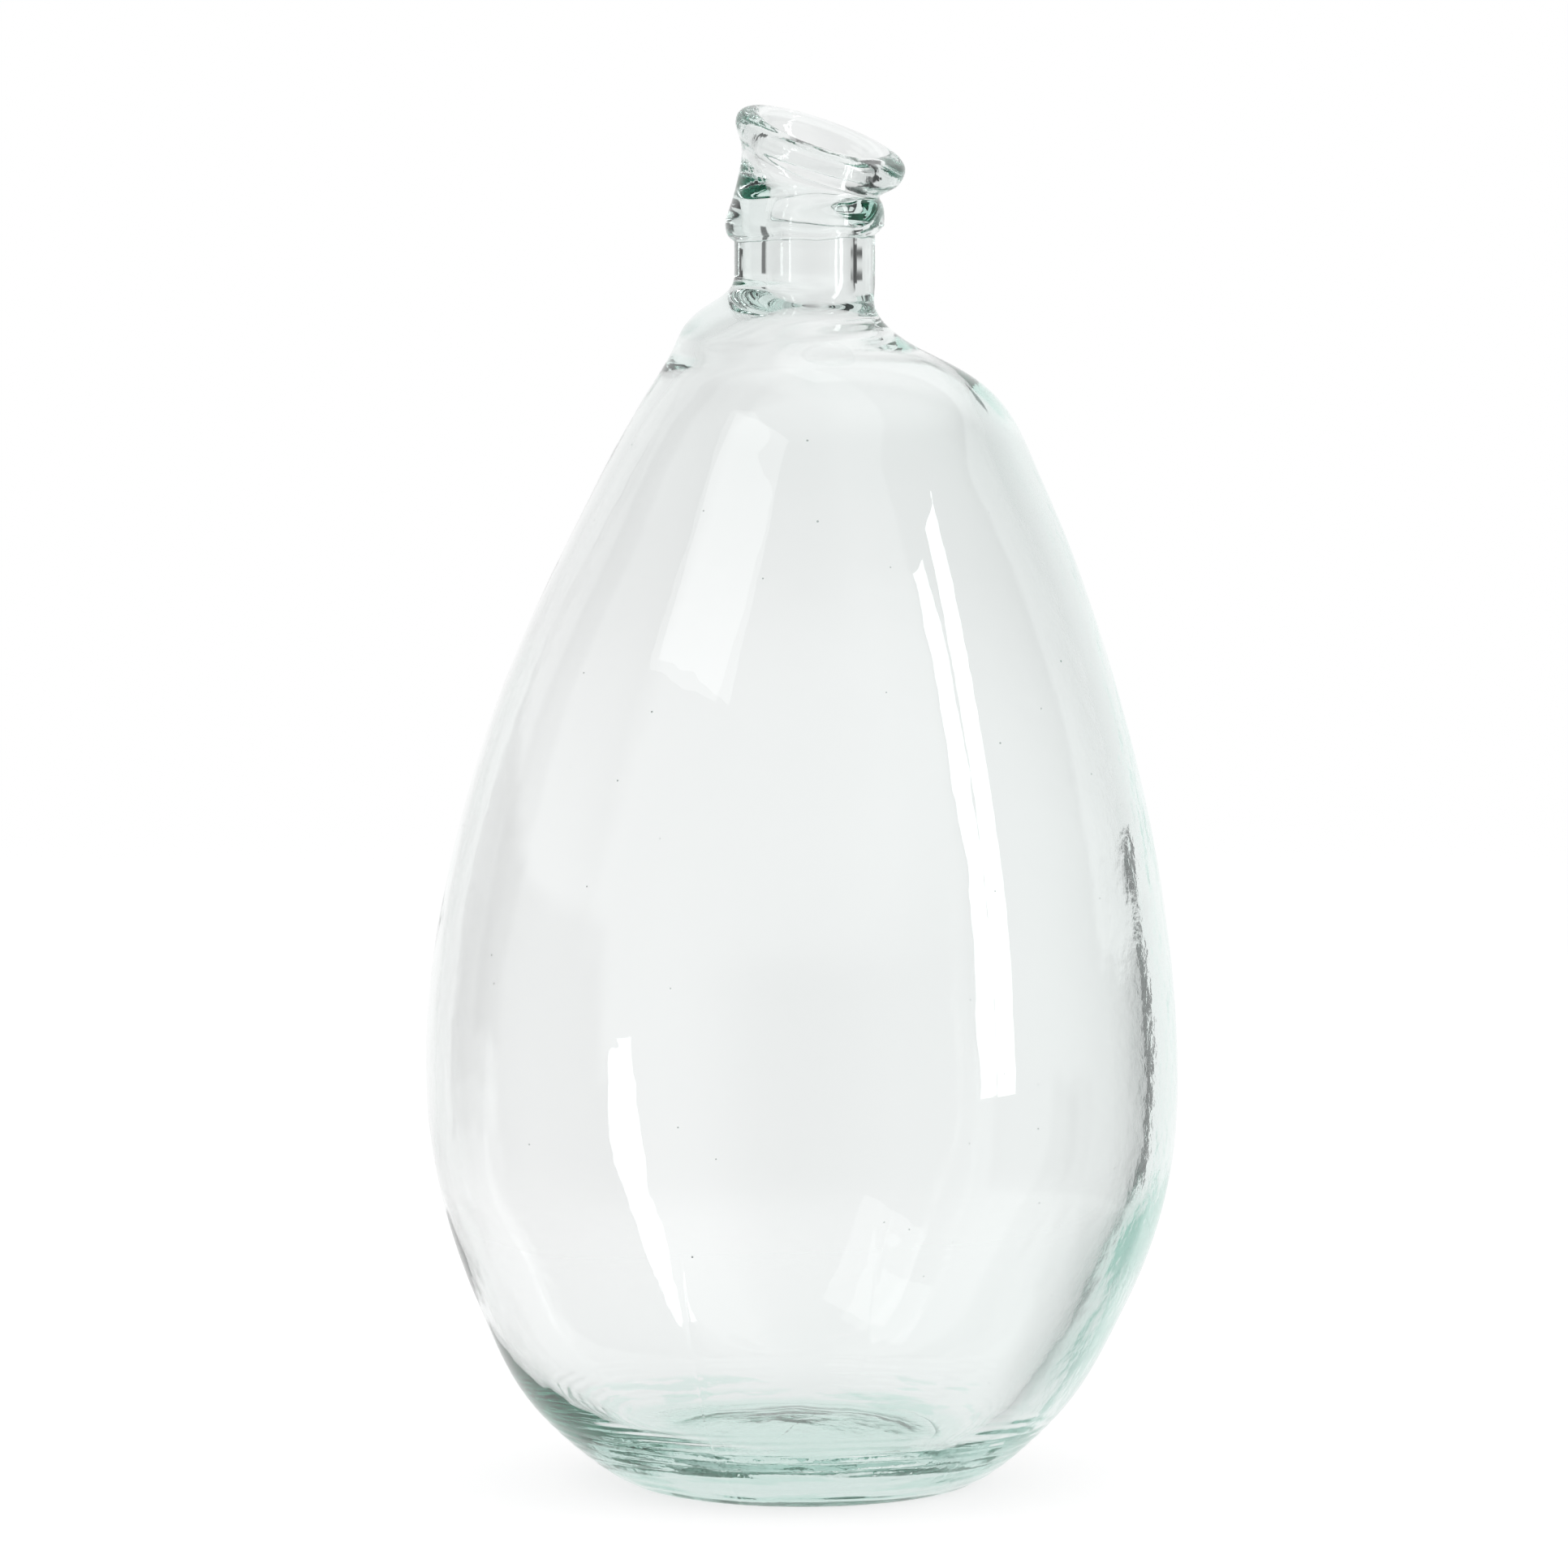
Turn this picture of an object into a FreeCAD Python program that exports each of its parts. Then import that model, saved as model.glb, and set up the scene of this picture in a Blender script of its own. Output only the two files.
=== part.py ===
import FreeCAD, Part

import os
import re

import Sketcher

# A glass carboy in one piece: thick green-tinged glass blown into an egg-shaped mould whose
# shoulder sits askew, with a straight neck, a string ring and a flared mouth cut on a slant.
# The frame has +Z up and its origin on the table under the middle of the belly. The shoulder's
# bulge and the low side of the mouth are at +X, and -Y is the front.

BODY_LABEL = "glass_carboy"
OUT_FOLDER = "parts"

# Driving sizes in millimetres and degrees: name, value, what it is.
SIZES = [
    ("body_height", 410.0, "table to the root of the straight neck"),
    ("belly_rise", 138.0, "table to the widest level"),
    ("belly_radius", 128.5, "half the greatest width"),
    ("foot_radius", 57.0, "outer radius of the foot, before its rounding"),
    ("foot_round", 2.5, "rounding of the foot's outer edge"),
    ("rest_width", 13.0, "width of the ring that the foot rests on"),
    ("push_up_depth", 5.0, "depth of the hollow under the foot"),
    ("bulge_offset", 6.6, "how far the shoulder's middle stands towards +X"),
    ("belly_wall", 6.0, "glass at the belly, measured level"),
    ("heel_wall", 11.0, "glass where the side turns under, measured level"),
    ("shoulder_wall", 8.5, "glass round the shoulder, measured level"),
    ("cavity_offset", 3.0, "how far the hollow stands towards -X, which thickens the +X wall"),
    ("floor_wall", 10.5, "table to the inner floor"),
    ("floor_inset", 9.0, "how much smaller the inner floor's radius is than the foot's"),
    ("curl_height", 6.0, "height of the curl between the inner floor and the wall"),
    ("curl_reach", 15.0, "how far that curl reaches out"),
    ("dome_rise", 3.0, "height of the dome on the inner floor"),
    ("dome_inset", 3.0, "how much smaller the dome's radius is than the inner floor's"),
    ("neck_offset", 0.9, "how far the neck stands towards +X"),
    ("neck_radius", 24.0, "outer radius of the neck"),
    ("neck_length", 19.0, "root of the neck to the middle of the string ring"),
    ("ring_overhang", 3.1, "how far the string ring stands out of the neck"),
    ("ring_section", 4.8, "radius of the string ring's round section"),
    ("collar_overhang", 2.4, "how far the foot of the mouth stands out of the neck"),
    ("collar_rise", 7.5, "ring's middle to the top of the collar"),
    ("collar_top_overhang", 1.7, "how far the top of the collar stands out of the neck"),
    ("collar_lean", 0.6, "how far the top of the collar stands from the neck, towards +X"),
    ("waist_rise", 16.0, "ring's middle to the middle of the waist below the mouth"),
    ("waist_overhang", 0.6, "how far the waist stands out of the neck"),
    ("waist_lean", 2.2, "how far the waist stands from the neck, towards +X"),
    ("waist_tilt", 15.0, "slant of the waist, down towards +X"),
    ("mouth_rise", 31.2, "ring's middle to the middle of the rim"),
    ("mouth_overhang", 6.2, "how far the rim stands out of the neck"),
    ("mouth_lean", 5.0, "how far the rim stands from the neck, towards +X"),
    ("mouth_tilt", 19.0, "slant of the rim, down towards +X"),
    ("mouth_nod", 12.0, "slant of the rim, down towards the front"),
    ("lip_height", 8.5, "height of the lip's outer face"),
    ("lip_flare", 1.2, "how much narrower the lip is at its foot"),
    ("lip_lean", 0.5, "how much nearer the neck the lip stands at its foot"),
    ("rim_round", 4.2, "rounding of the rim's two edges"),
    ("rim_round_limit", 0.46, "the most that rounding may be, as a share of the rim's width"),
    ("bore_lean", 1.1, "how far the bore stands from the neck, towards +X"),
    ("bore_radius", 15.0, "inner radius of the neck"),
    ("bore_above", 3.0, "how far the straight bore runs past the ring's middle"),
    ("throat_rise", 13.0, "ring's middle to the middle of the throat"),
    ("throat_flare", 4.4, "how much wider the throat is than the bore"),
    ("throat_lean", 3.5, "how far the throat stands from the neck, towards +X"),
    ("throat_tilt", 10.0, "slant of the throat, down towards +X"),
    ("opening_flare", 5.8, "how much wider the opening in the rim is than the bore"),
    ("cut_flare", 1.5, "how much wider still the opening's cut is at its end"),
    ("cut_beyond", 4.0, "how far that cut runs on past the rim"),
]

# The form of the sides. A station below the belly stands between foot and belly, and one above
# between belly and neck: rise and spread are its shares of that height and of that difference
# in radius, swing is its share of bulge_offset, and drift is its hollow's share of
# cavity_offset. The last value is the glass there, measured level.
LOWER_STATIONS = [
    ("toe", 0.025, 0.115, 0.00, 1.0, None),
    ("heel", 0.087, 0.275, -0.06, 1.0, None),
    ("low_side", 0.261, 0.577, -0.10, 1.0, "heel_wall"),
    ("side", 0.507, 0.805, 0.05, 1.0, "(heel_wall + belly_wall) / 2"),
    ("high_side", 0.754, 0.952, 0.08, 1.0, "belly_wall"),
]
UPPER_STATIONS = [
    ("high_belly", 0.184, 0.965, 0.03, 1.0, "belly_wall"),
    ("flank", 0.368, 0.868, 0.21, 1.0, "belly_wall"),
    ("chest", 0.551, 0.718, 0.52, 1.0, "belly_wall"),
    ("high_chest", 0.706, 0.549, 0.87, 1.0, "(belly_wall + shoulder_wall) / 2"),
    ("shoulder", 0.801, 0.431, 1.02, 1.0, "shoulder_wall"),
    ("crown", 0.857, 0.340, 0.94, 0.7, "shoulder_wall"),
    ("high_crown", 0.890, 0.256, 0.46, 0.4, "shoulder_wall"),
    ("slope", 0.919, 0.161, -0.38, 0.2, "shoulder_wall"),
    ("hollow", 0.947, 0.094, -0.86, 0.0, "shoulder_wall"),
    ("flare", 0.974, 0.034, -0.46, -1.0, "neck_radius - bore_radius"),
]

# Formulas that several features share.
RING_LEVEL = "body_height + neck_length"
RIM_LEVEL = f"{RING_LEVEL} + mouth_rise"
RIM_RADIUS = "neck_radius + mouth_overhang"
RIM_OFFSET = "neck_offset + mouth_lean"
BORE_OFFSET = "neck_offset + bore_lean"
OPENING_RADIUS = "bore_radius + opening_flare"
FLOOR_RADIUS = "foot_radius - floor_inset"
# The opening's cut runs on along the rim's own axis.
CUT_SHIFT = "cut_beyond * sin(mouth_tilt * 1deg)"

doc = FreeCAD.newDocument("GlassCarboy")


def fill_sheet():
    """Writes every driving size and share into the sheet, with its name as the cell's alias."""
    sheet = doc.addObject("Spreadsheet::Sheet", "Sizes")
    entries = list(SIZES)
    for name, rise, spread, swing, drift, _ in LOWER_STATIONS + UPPER_STATIONS:
        entries.append((f"{name}_rise", rise, f"height of the {name}, as a share"))
        entries.append((f"{name}_spread", spread, f"radius of the {name}, as a share"))
        entries.append((f"{name}_swing", swing, f"middle of the {name}, as a share"))
        entries.append((f"{name}_drift", drift, f"drift of the hollow at the {name}, as a share"))
    for row, (name, value, note) in enumerate(entries, start=1):
        sheet.set(f"A{row}", note)
        sheet.set(f"B{row}", str(value))
        sheet.setAlias(f"B{row}", name)
    doc.recompute()
    return {name for name, _, _ in entries}


def bind(target, path, formula):
    """Binds a property to a formula whose size names are read from the sheet."""
    named = re.sub(r"[a-z_]+", lambda word: f"Sizes.{word[0]}" if word[0] in size_names else word[0], formula)
    target.setExpression(path, named)


def new_sketch(name, plane_role):
    sketch = body.newObject("Sketcher::SketchObject", name)
    planes = body.Origin.OriginFeatures
    sketch.AttachmentSupport = [(next(plane for plane in planes if plane.Role == plane_role), "")]
    sketch.MapMode = "FlatFace"
    return sketch


def circle(name, radius, rise, offset="0", tilt="0", nod="0"):
    """A circle about (offset, 0, rise), level or slanted down towards +X and the front."""
    sketch = new_sketch(name, "XY_Plane")
    sketch.addGeometry(Part.Circle(FreeCAD.Vector(), FreeCAD.Vector(0, 0, 1), 10), False)
    sketch.addConstraint(Sketcher.Constraint("Coincident", 0, 3, -1, 1))
    sketch.addConstraint(Sketcher.Constraint("Radius", 0, 10))
    bind(sketch, "Constraints[1]", radius)
    bind(sketch, "AttachmentOffset.Base.x", offset)
    bind(sketch, "AttachmentOffset.Base.z", rise)
    if tilt != "0":
        bind(sketch, "AttachmentOffset.Rotation.Pitch", tilt)
        bind(sketch, "AttachmentOffset.Rotation.Roll", nod)
    return sketch


def ring_section(name, radius, section, rise, offset):
    """An upright round section, to be turned into a ring of that radius about (offset, 0)."""
    sketch = new_sketch(name, "XZ_Plane")
    sketch.addGeometry(Part.Circle(FreeCAD.Vector(20, 0, 0), FreeCAD.Vector(0, 0, 1), 5), False)
    sketch.addConstraint(Sketcher.Constraint("PointOnObject", 0, 3, -1))
    sketch.addConstraint(Sketcher.Constraint("DistanceX", -1, 1, 0, 3, 20))
    sketch.addConstraint(Sketcher.Constraint("Radius", 0, 5))
    bind(sketch, "Constraints[1]", radius)
    bind(sketch, "Constraints[2]", section)
    bind(sketch, "AttachmentOffset.Base.x", offset)
    bind(sketch, "AttachmentOffset.Base.y", rise)
    return sketch


def cap_section(name, radius, height, rise, offset):
    """Half the upright section of a shallow cap of a sphere, its flat side at that rise."""
    sketch = new_sketch(name, "XZ_Plane")
    middle = FreeCAD.Vector(0, 0, 0)
    edge = FreeCAD.Vector(30, 0, 0)
    between = FreeCAD.Vector(16, 3.7, 0)
    top = FreeCAD.Vector(0, 5, 0)
    sketch.addGeometry(Part.LineSegment(middle, edge), False)
    sketch.addGeometry(Part.Arc(edge, between, top), False)
    sketch.addGeometry(Part.LineSegment(top, middle), False)
    sketch.addConstraint(Sketcher.Constraint("Coincident", 0, 1, -1, 1))
    sketch.addConstraint(Sketcher.Constraint("Coincident", 0, 2, 1, 1))
    sketch.addConstraint(Sketcher.Constraint("Coincident", 1, 2, 2, 1))
    sketch.addConstraint(Sketcher.Constraint("Coincident", 2, 2, 0, 1))
    sketch.addConstraint(Sketcher.Constraint("Horizontal", 0))
    sketch.addConstraint(Sketcher.Constraint("Vertical", 2))
    sketch.addConstraint(Sketcher.Constraint("PointOnObject", 1, 3, -2))
    sketch.addConstraint(Sketcher.Constraint("DistanceX", 0, 1, 0, 2, 30))
    sketch.addConstraint(Sketcher.Constraint("DistanceY", 2, 2, 2, 1, 5))
    bind(sketch, "Constraints[7]", radius)
    bind(sketch, "Constraints[8]", height)
    bind(sketch, "AttachmentOffset.Base.x", offset)
    bind(sketch, "AttachmentOffset.Base.y", rise)
    return sketch


def loft(kind, name, outlines):
    feature = body.newObject(f"PartDesign::{kind}", name)
    feature.Profile = outlines[0]
    feature.Sections = outlines[1:]
    feature.Ruled = False
    doc.recompute()
    return feature


def turn(kind, name, section):
    """Turns an upright section a full circle about its own upright axis."""
    feature = body.newObject(f"PartDesign::{kind}", name)
    feature.Profile = section
    feature.ReferenceAxis = (section, ["V_Axis"])
    feature.Angle = 360
    doc.recompute()
    return feature


def extrude(kind, name, outline, length, reverse=False):
    feature = body.newObject(f"PartDesign::{kind}", name)
    feature.Profile = outline
    feature.Reversed = reverse
    bind(feature, "Length", length)
    doc.recompute()
    return feature


def flat_face_edges(shape, pick):
    """Names of the edges round the lowest (pick min) or highest (pick max) flat face."""
    flat = [face for face in shape.Faces if face.Surface.TypeId == "Part::GeomPlane"]
    chosen = pick(flat, key=lambda face: face.CenterOfMass.z)
    names = []
    for number, edge in enumerate(shape.Edges, start=1):
        if any(edge.isSame(other) for other in chosen.Edges):
            names.append(f"Edge{number}")
    return names


def round_edges(name, base, pick, radius):
    feature = body.newObject("PartDesign::Fillet", name)
    feature.Base = (base, flat_face_edges(base.Shape, pick))
    bind(feature, "Radius", radius)
    doc.recompute()
    return feature


def side_outlines():
    """The level outlines of the blown form and of its hollow, from the foot to the neck."""
    outer = [circle("Foot", "foot_radius", "0")]
    inner = [
        circle("Floor", FLOOR_RADIUS, "floor_wall", "0 - cavity_offset"),
        circle("Curl", f"{FLOOR_RADIUS} + curl_reach", "floor_wall + curl_height", "0 - cavity_offset"),
    ]
    levels = []
    for name, *_, wall in LOWER_STATIONS:
        radius = f"foot_radius + {name}_spread * (belly_radius - foot_radius)"
        rise = f"{name}_rise * belly_rise"
        levels.append((name, radius, rise, f"{name}_swing * bulge_offset", f"{name}_drift", wall))
    levels.append(("belly", "belly_radius", "belly_rise", "0", "1", "belly_wall"))
    for name, *_, wall in UPPER_STATIONS:
        radius = f"neck_radius + {name}_spread * (belly_radius - neck_radius)"
        rise = f"belly_rise + {name}_rise * (body_height - belly_rise)"
        levels.append((name, radius, rise, f"{name}_swing * bulge_offset", f"{name}_drift", wall))
    for name, radius, rise, offset, drift, wall in levels:
        outer.append(circle(f"Outer_{name}", radius, rise, offset))
        if wall is not None:
            inner_offset = f"{offset} - {drift} * cavity_offset"
            inner.append(circle(f"Inner_{name}", f"{radius} - ({wall})", rise, inner_offset))
    outer.append(circle("NeckRoot", "neck_radius", "body_height", "neck_offset"))
    inner.append(circle("BoreRoot", "bore_radius", "body_height", BORE_OFFSET))
    return outer, inner


size_names = fill_sheet()
body = doc.addObject("PartDesign::Body", "Carboy")
body.Label = BODY_LABEL
outer_outlines, inner_outlines = side_outlines()

# ---- the outside, as if the glass were solid
loft("AdditiveLoft", "BlownForm", outer_outlines)
neck_outline = circle("NeckOutline", "neck_radius", "body_height", "neck_offset")
extrude("Pad", "Neck", neck_outline, "neck_length")
collar_radius = "neck_radius + collar_top_overhang"
waist_radius = "neck_radius + waist_overhang"
mouth_outlines = [
    circle("MouthFoot", "neck_radius + collar_overhang", RING_LEVEL, "neck_offset"),
    circle("Collar", collar_radius, f"{RING_LEVEL} + collar_rise", "neck_offset + collar_lean"),
    circle("Waist", waist_radius, f"{RING_LEVEL} + waist_rise", "neck_offset + waist_lean", "waist_tilt",
           "mouth_nod / 2"),
    circle("LipFoot", f"{RIM_RADIUS} - lip_flare", f"{RIM_LEVEL} - lip_height", f"{RIM_OFFSET} - lip_lean",
           "mouth_tilt", "mouth_nod"),
    circle("Rim", RIM_RADIUS, RIM_LEVEL, RIM_OFFSET, "mouth_tilt", "mouth_nod"),
]
loft("AdditiveLoft", "Mouth", mouth_outlines)
ring_radius = "neck_radius + ring_overhang - ring_section"
ring_outline = ring_section("StringRingSection", ring_radius, "ring_section", RING_LEVEL, "neck_offset")
string_ring = turn("Revolution", "StringRing", ring_outline)

# ---- the hollow
cavity = loft("SubtractiveLoft", "Cavity", inner_outlines)
bore_outline = circle("BoreOutline", "bore_radius", "body_height", BORE_OFFSET)
bore = extrude("Pocket", "Bore", bore_outline, "neck_length + bore_above", reverse=True)
throat_outlines = [
    circle("ThroatFoot", "bore_radius", f"{RING_LEVEL} + bore_above", BORE_OFFSET),
    circle("ThroatMiddle", "bore_radius + throat_flare", f"{RING_LEVEL} + throat_rise",
           "neck_offset + throat_lean", "throat_tilt", "mouth_nod / 2"),
    circle("Opening", OPENING_RADIUS, RIM_LEVEL, RIM_OFFSET, "mouth_tilt", "mouth_nod"),
    circle("OpeningEnd", f"{OPENING_RADIUS} + cut_flare", f"{RIM_LEVEL} + cut_beyond",
           f"{RIM_OFFSET} + {CUT_SHIFT}", "mouth_tilt", "mouth_nod"),
]
throat = loft("SubtractiveLoft", "Throat", throat_outlines)

# ---- the floor's dome and the hollow under the foot
dome_radius = f"{FLOOR_RADIUS} - dome_inset"
dome_section = cap_section("DomeSection", dome_radius, "dome_rise", "floor_wall", "0 - cavity_offset")
dome = turn("Revolution", "Dome", dome_section)
push_up_section = cap_section("PushUpSection", "foot_radius - rest_width", "push_up_depth", "0", "0")
push_up = turn("Groove", "PushUp", push_up_section)

# ---- rounded edges
foot_rounding = round_edges("FootRounding", push_up, min, "min(foot_round; rest_width / 3)")
rim_limit = f"rim_round_limit * ({RIM_RADIUS} - ({OPENING_RADIUS}))"
rim_rounding = round_edges("RimRounding", foot_rounding, max, f"min(rim_round; {rim_limit})")

# ---- checks
for item in doc.Objects:
    assert "Invalid" not in item.State and "Error" not in item.State, f"{item.Name} failed"
for before, after in [(string_ring, cavity), (cavity, bore), (bore, throat), (dome, push_up)]:
    assert after.Shape.Volume < before.Shape.Volume - 1, f"{after.Name} cut nothing"
assert dome.Shape.Volume > throat.Shape.Volume, "the dome added nothing"
assert not body.Shape.isNull() and body.Shape.isValid(), "the glass isn't valid"
assert len(body.Shape.Solids) == 1, "the glass is in pieces"

os.makedirs(OUT_FOLDER, exist_ok=True)
body.Shape.exportStep(f"{OUT_FOLDER}/{body.Label}.step")

glass = body.Shape.Solids[0]
print(f"{body.Label}: {glass.Volume / 1000:.0f} cm3 of glass, box {glass.optimalBoundingBox()}")
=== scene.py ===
from math import ceil, cos, pi, radians, sin, sqrt

import bmesh
import bpy
import numpy as np
from mathutils import Matrix, Vector
from mathutils.bvhtree import BVHTree


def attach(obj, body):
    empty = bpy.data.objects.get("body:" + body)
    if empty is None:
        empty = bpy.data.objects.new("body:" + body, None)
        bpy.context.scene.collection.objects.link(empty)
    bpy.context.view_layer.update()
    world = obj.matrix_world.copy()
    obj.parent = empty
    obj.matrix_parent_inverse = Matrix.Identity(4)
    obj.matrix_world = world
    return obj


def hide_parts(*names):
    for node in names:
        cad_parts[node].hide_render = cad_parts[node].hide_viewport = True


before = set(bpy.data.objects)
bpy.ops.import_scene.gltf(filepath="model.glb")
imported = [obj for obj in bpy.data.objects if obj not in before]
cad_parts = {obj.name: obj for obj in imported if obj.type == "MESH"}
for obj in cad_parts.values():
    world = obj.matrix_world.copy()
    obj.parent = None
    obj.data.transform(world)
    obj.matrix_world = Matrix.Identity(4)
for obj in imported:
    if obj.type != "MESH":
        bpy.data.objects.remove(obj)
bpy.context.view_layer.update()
print("frame loaded")

scene = bpy.context.scene
mm = 0.001


# ---- small helpers for node trees

class Value:
    # an output socket that can be used in plain arithmetic
    def __init__(self, graph, socket):
        self.graph = graph
        self.socket = socket

    def sibling(self, name):
        return Value(self.graph, self.socket.node.outputs[name])

    def __add__(self, other):
        return self.graph.maths("ADD", self, other)

    __radd__ = __add__

    def __mul__(self, other):
        return self.graph.maths("MULTIPLY", self, other)

    __rmul__ = __mul__

    def __sub__(self, other):
        return self.graph.maths("SUBTRACT", self, other)

    def __rsub__(self, other):
        return self.graph.maths("SUBTRACT", other, self)

    def __truediv__(self, other):
        return self.graph.maths("DIVIDE", self, other)

    def __rtruediv__(self, other):
        return self.graph.maths("DIVIDE", other, self)


class Graph:
    # a node tree that is built by writing expressions
    def __init__(self, tree):
        self.tree = tree
        tree.nodes.clear()

    def add(self, kind, settings=None, sockets=None, out=0):
        node = self.tree.nodes.new(kind)
        for name, value in (settings or {}).items():
            setattr(node, name, value)
        for name, value in (sockets or {}).items():
            if isinstance(value, Value):
                self.tree.links.new(value.socket, node.inputs[name])
            else:
                node.inputs[name].default_value = value
        return Value(self, node.outputs[out]) if len(node.outputs) else None

    def maths(self, operation, *values):
        return self.add("ShaderNodeMath", {"operation": operation}, dict(enumerate(values)))

    def smoothStep(self, value, start, end):
        sockets = {"Value": value, "From Min": start, "From Max": end}
        return self.add("ShaderNodeMapRange", {"interpolation_type": "SMOOTHSTEP"}, sockets)

    def band(self, value, start, end, soft):
        # 1 between start and end, fading over soft on either side
        return self.smoothStep(value, start - soft, start) \
            * (1 - self.smoothStep(value, end, end + soft))

    def noise(self, place, size, detail=2.0, shift=0.0):
        # runs from about -1 to 1, with features of that size in metres
        sockets = {"Vector": place, "W": shift, "Scale": 1 / size, "Detail": detail}
        return self.add("ShaderNodeTexNoise", {"noise_dimensions": "4D"}, sockets) * 2 - 1

    def vector(self, operation, first, second):
        sockets = {0: first, 1: second}
        return self.add("ShaderNodeVectorMath", {"operation": operation}, sockets)

    def finish(self, geometry, material):
        # how every tree for a piece ends
        smooth = self.add(
            "GeometryNodeSetShadeSmooth", sockets={"Geometry": geometry, "Shade Smooth": True})
        real = self.add("GeometryNodeRealizeInstances", sockets={"Geometry": smooth})
        finished = self.add(
            "GeometryNodeSetMaterial", sockets={"Geometry": real, "Material": material})
        self.add("NodeGroupOutput", sockets={"Geometry": finished})


# ---- the glass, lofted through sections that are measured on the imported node

shell = {
    "columns": 176,             # facets round the glass
    "seamTurns": (-19, 161),    # where the mould's two seams run, in degrees from the front
    "seamColumns": (-0.5, -0.22, 0.0, 0.22, 0.5), "seamClearance": 0.9,
    # rays round each measured section, and how far out they start below the neck and beside it
    "rayCount": 72, "bodyReach": 0.16, "neckReach": 0.05, "neckLevel": 412,
    # levels of the sections, in millimetres above the table
    "outerLevels": (
        0.5, 1.3, 2.4, 4, 6.5, 10, 15, 22, 31, 42, 56, 72, 90, 110, 132, 156, 180, 205, 230, 254,
        276, 294, 310, 324, 336, 347, 356, 364, 371, 377.5, 384, 390, 396, 402, 407.5, 413, 418.5,
        422.6, 423.7, 424.3, 424.7, 425.3, 426.2, 427.4, 429, 433.5),
    "innerLevels": (
        13.8, 15.4, 17.5, 20.5, 24.5, 30, 38, 48, 62, 80, 102, 128, 156, 180, 205, 230, 254, 276,
        294, 310, 324, 336, 347, 356, 364, 371, 377.5, 384, 390),
    # the sharp turn where the hollow opens out under the neck: level and radius
    "neckRoot": (
        (395, 26.4), (397.4, 23.6), (399.1, 21.3), (400.5, 19.3), (402, 17.5), (403.6, 16.2),
        (405.3, 15.4), (407.2, 15.05), (409.2, 14.98)),
    "neckRootEnd": 404.0,       # by this level the bore stands in its own middle
    # the bore is dead straight between two levels, with the section that is measured in it
    "boreLevels": (412, 416, 420, 424, 427.5), "boreSpan": (409, 428), "boreMeasuredAt": 418,
    "floorShift": 1.2, "floorShiftLevels": (14, 50),    # the hollow's foot stands towards +X
    # the -X wall is thinner low down, which keeps the trapped light's dark green in the heel
    "thinSide": 1.2, "thinLevels": (18, 34, 84, 124),
    "openingFlare": 0.5, "openingFlareLevels": (434, 450),
    # sections of the mouth that lean: level, middle, tilt towards +X and nod towards the front
    "outerLeans": (
        (439.5, 2.0, 6, 2.4), (445, 3.1, 15, 6), (449.5, 4.6, 18, 10), (454.2, 5.5, 19, 12)),
    "innerLeans": ((436.5, 3.2, 5.5, 3.5), (442, 4.4, 10, 6), (448, 4.9, 14.5, 9)),
    "rimLevel": 460.2, "rimMiddle": 5.9, "rimTilt": 19, "rimNod": 12,
    # the lip over the rim: its two rounds, how far its middle dips, and the steps over each part
    "lipRound": 4.2, "lipInnerRound": 1.9, "lipCrown": 0.3,
    "lipOuterSteps": 8, "lipCrownSteps": 4, "lipInnerSteps": 5,
    "domeRadius": 42, "domeRise": 3.2, "domeMiddle": 3.5, "domeEdge": 1.08,
    # the corner round the dome: how far out, how high above the floor and off the middle
    "floorLevel": 10.5, "floorEdge": 48, "floorEdgeRise": 0.1, "floorEdgeMiddle": 1.5,
    "restInner": 44, "pushUp": 5, "pushUpEdge": 1.2,
    # a cap's sections as shares of its radius, and the small swelling round its edge
    "capShares": (0.02, 0.15, 0.3, 0.45, 0.6, 0.74, 0.86, 0.95, 1.03),
    "capSwelling": 0.04, "capSwellingWidth": 0.2,
    # rows: (up to this level, how far apart), in millimetres
    "outerSpacing": ((27, 1.0), (350, 4.6), (405, 1.7), (437, 0.75), (1000, 1.0)),
    "innerSpacing": ((22, 1.5), (350, 4.2), (396, 2.0), (406, 0.9), (1000, 1.5)),
}

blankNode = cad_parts["glass_carboy"]
blankTree = BVHTree.FromPolygons([v.co.copy() for v in blankNode.data.vertices],
                                 [tuple(p.vertices) for p in blankNode.data.polygons])


def easing(value, start, end):
    # 0 before the start, 1 past the end, and smooth between them
    share = min(max((value - start) / (end - start), 0), 1)
    return share ** 2 * (3 - 2 * share)


def leaning(tilt, nod):
    return Matrix.Rotation(radians(tilt), 3, "Y") @ Matrix.Rotation(radians(nod), 3, "X")


def measureSection(level, middle=0.0, tilt=0.0, nod=0.0, outside=True):
    # the circle that fits one wall of the blank in a level or leaning section
    turn = leaning(tilt, nod)
    centre = Vector((middle, 0, level)) * mm
    reach = shell["bodyReach"] if level < shell["neckLevel"] else shell["neckReach"]
    found = []
    for step in range(shell["rayCount"]):
        angle = 2 * pi * step / shell["rayCount"]
        outwards = turn @ Vector((cos(angle), sin(angle), 0))
        if outside:
            hit = blankTree.ray_cast(centre + outwards * reach, -outwards)[0]
        else:
            hit = blankTree.ray_cast(centre, outwards)[0]
        local = turn.transposed() @ (hit - centre)
        found.append((local.x, local.y))
    points = np.array(found)
    system = np.column_stack((2 * points, np.ones(len(points))))
    across, along, rest = np.linalg.lstsq(system, (points ** 2).sum(axis=1), rcond=None)[0]
    radius = sqrt(rest + across ** 2 + along ** 2)
    fitted = centre + turn @ Vector((across, along, 0))
    return [fitted.x, fitted.y, fitted.z, radius, tilt, nod]


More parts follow.
